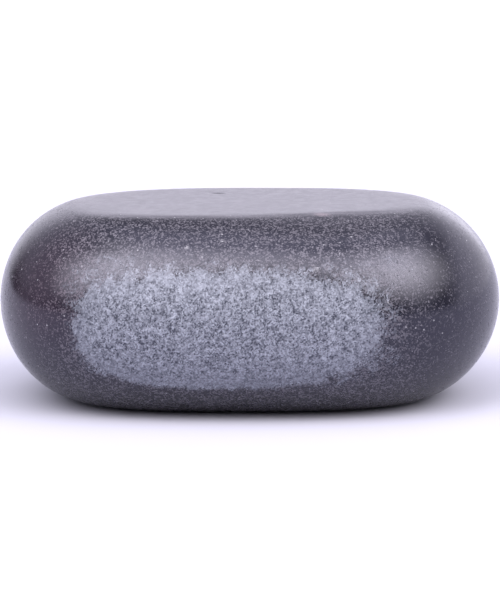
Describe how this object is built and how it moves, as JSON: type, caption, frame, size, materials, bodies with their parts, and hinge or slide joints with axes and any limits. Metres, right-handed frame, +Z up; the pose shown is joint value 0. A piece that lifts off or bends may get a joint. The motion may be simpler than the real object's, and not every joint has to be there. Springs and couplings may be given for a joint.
{
  "type": "river pebble",
  "caption": "Long rounded dark stone with a flat ground top and underside, a dull polish and a rough pale patch on its front, to rest on a surface.",
  "frame": {"origin": "middle of the stone's box, on the surface it rests on", "axes": "+X along the stone, +Z up from the underside to the top flat, -Y out of the side with the rough patch"},
  "size_m": [0.095, 0.0628, 0.0373],
  "materials": {
    "dark_stone": "water-worn and dully polished, fine pale grains, ground flats, one rough pale patch on the front"
  },
  "bodies": {
    "root": {"pebble": "dark_stone"}
  },
  "joints": []
}
